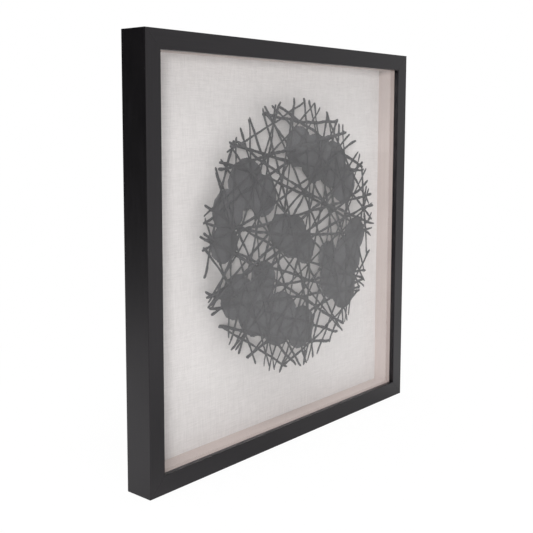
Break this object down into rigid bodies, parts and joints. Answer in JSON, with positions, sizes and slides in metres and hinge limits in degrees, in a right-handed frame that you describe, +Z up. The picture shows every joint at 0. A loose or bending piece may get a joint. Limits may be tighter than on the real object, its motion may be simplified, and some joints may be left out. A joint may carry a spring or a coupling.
{
  "type": "framed paper lattice art",
  "caption": "Square shadow-box picture frame with glass, holding a round lattice of grey paper strips and patches that floats in front of linen.",
  "frame": {"origin": "middle of the bottom rail's lower face, at half the frame's depth", "axes": "+X to the viewer's right, +Y from the glass towards the wall, +Z up"},
  "size_m": [0.61, 0.0488, 0.61],
  "materials": {
    "frame_black": "satin black lacquer on wood",
    "glazing": "clear picture glass",
    "spacer_cream": "cream faced mount board",
    "board": "brown backing board",
    "linen": "natural slubbed linen, stretched",
    "paper_grey": "heavy handmade paper, charcoal grey",
    "strip_grey": "heavy handmade paper strips, charcoal grey",
    "foam": "white foam",
    "steel": "bright zinc plated",
    "rubber_black": "soft black rubber"
  },
  "bodies": {
    "root": {"backing_board": "board", "bumper_left": "rubber_black", "bumper_right": "rubber_black", "corner_wedges": "steel", "foam_posts": "foam", "frame_bottom_rail": "frame_black", "frame_left_rail": "frame_black", "frame_right_rail": "frame_black", "frame_top_rail": "frame_black", "framer_points": "steel", "glass_pane": "glazing", "hanger_left": "steel", "hanger_nails": "steel", "hanger_right": "steel", "linen_cover": "linen", "paper_patch_left": "paper_grey", "paper_patch_lower": "paper_grey", "paper_patch_middle": "paper_grey", "paper_patch_right": "paper_grey", "paper_patch_upper": "paper_grey", "spacer_bottom": "spacer_cream", "spacer_left": "spacer_cream", "spacer_right": "spacer_cream", "spacer_top": "spacer_cream", "strip_layer_01": "strip_grey", "strip_layer_02": "strip_grey", "strip_layer_03": "strip_grey", "strip_layer_04": "strip_grey", "strip_layer_05": "strip_grey", "strip_layer_06": "strip_grey", "strip_layer_07": "strip_grey", "strip_layer_08": "strip_grey", "strip_layer_09": "strip_grey", "strip_layer_10": "strip_grey", "strip_layer_11": "strip_grey", "strip_layer_12": "strip_grey", "strip_layer_13": "strip_grey", "strip_layer_14": "strip_grey"}
  },
  "joints": []
}
